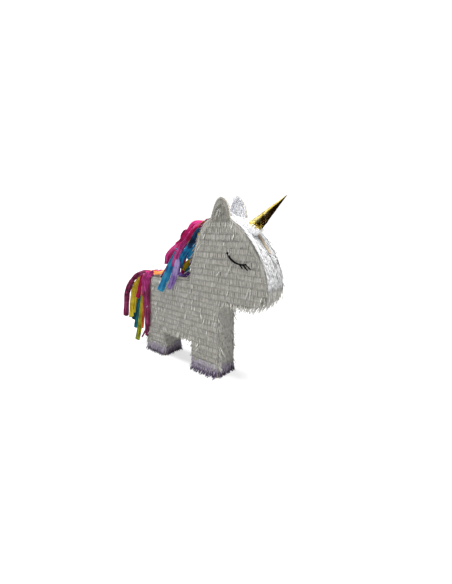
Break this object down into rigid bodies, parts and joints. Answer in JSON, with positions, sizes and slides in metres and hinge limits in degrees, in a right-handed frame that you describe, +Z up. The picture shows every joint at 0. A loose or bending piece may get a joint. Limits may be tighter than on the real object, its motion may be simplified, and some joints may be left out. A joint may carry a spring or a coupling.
{
  "type": "pinata",
  "caption": "Flat-sided unicorn pinata: card box covered in fringed tissue, with a foil horn, crepe streamer mane and swinging tail, and a filling hatch.",
  "frame": {"origin": "centre of the front foot's sole", "axes": "+X the way the unicorn faces, +Y its left side, +Z up"},
  "size_m": [0.6584, 0.0916, 0.501],
  "materials": {
    "card": "uncoated brown card",
    "white_tissue": "matt off-white tissue, fringed",
    "lilac_tissue": "matt lilac tissue, fringed",
    "gold_foil": "gold foil paper, glossy and creased",
    "black_card": "matt black paper",
    "pink_crepe": "matt crepe paper",
    "magenta_crepe": "matt crepe paper",
    "red_crepe": "matt crepe paper",
    "yellow_crepe": "matt crepe paper",
    "green_crepe": "matt crepe paper",
    "blue_crepe": "matt crepe paper",
    "purple_crepe": "matt crepe paper",
    "orange_crepe": "matt crepe paper",
    "teal_crepe": "matt crepe paper"
  },
  "bodies": {
    "body": {"side_panel_right": "card", "side_panel_left": "card", "tissue_side_right": "white_tissue", "tissue_side_left": "white_tissue", "edge_strip_rear_sole": "card", "edge_strip_rear_leg_front": "card", "edge_strip_belly": "card", "edge_strip_front_leg_rear": "card", "edge_strip_front_sole": "card", "edge_strip_chest": "card", "edge_strip_chin": "card", "edge_strip_face": "card", "edge_strip_nape": "card", "edge_strip_back": "card", "edge_strip_rump": "card", "tissue_rear_leg_front": "white_tissue", "tissue_belly": "white_tissue", "tissue_front_leg_rear": "white_tissue", "tissue_chest": "white_tissue", "tissue_chin": "white_tissue", "tissue_face": "white_tissue", "tissue_nape": "white_tissue", "tissue_back": "white_tissue", "tissue_rump": "white_tissue", "edge_strip_crown": "card", "tissue_crown": "white_tissue", "hanger_plate": "card", "ear_lining_right": "white_tissue", "ear_lining_left": "white_tissue", "hoof_fringe_front": "lilac_tissue", "hoof_fringe_rear": "lilac_tissue", "horn_core": "card", "horn_foil": "gold_foil", "eye_right": "black_card", "eye_left": "black_card", "mane_pink": "pink_crepe", "mane_magenta": "magenta_crepe", "mane_red": "red_crepe", "mane_yellow": "yellow_crepe", "mane_green": "green_crepe", "mane_blue": "blue_crepe", "mane_purple": "purple_crepe", "back_streamer_orange": "orange_crepe", "tail_root": "pink_crepe"},
    "hatch": {"hatch_flap": "card", "hatch_tissue": "white_tissue"},
    "tail": {"tail_magenta": "magenta_crepe", "tail_yellow": "yellow_crepe", "tail_orange": "orange_crepe", "tail_teal": "teal_crepe", "tail_green": "green_crepe", "tail_pink": "pink_crepe"}
  },
  "joints": [
    {"name": "hatch_crease", "type": "hinge", "parent": "body", "child": "hatch", "pos_m": [-0.132, 0.036, 0.226], "axis": [1, 0, 0], "range_deg": [0, 100]},
    {"name": "tail_swing", "type": "hinge", "parent": "body", "child": "tail", "pos_m": [-0.273, 0, 0.2699], "axis": [0, 1, 0], "range_deg": [0, 60]}
  ]
}
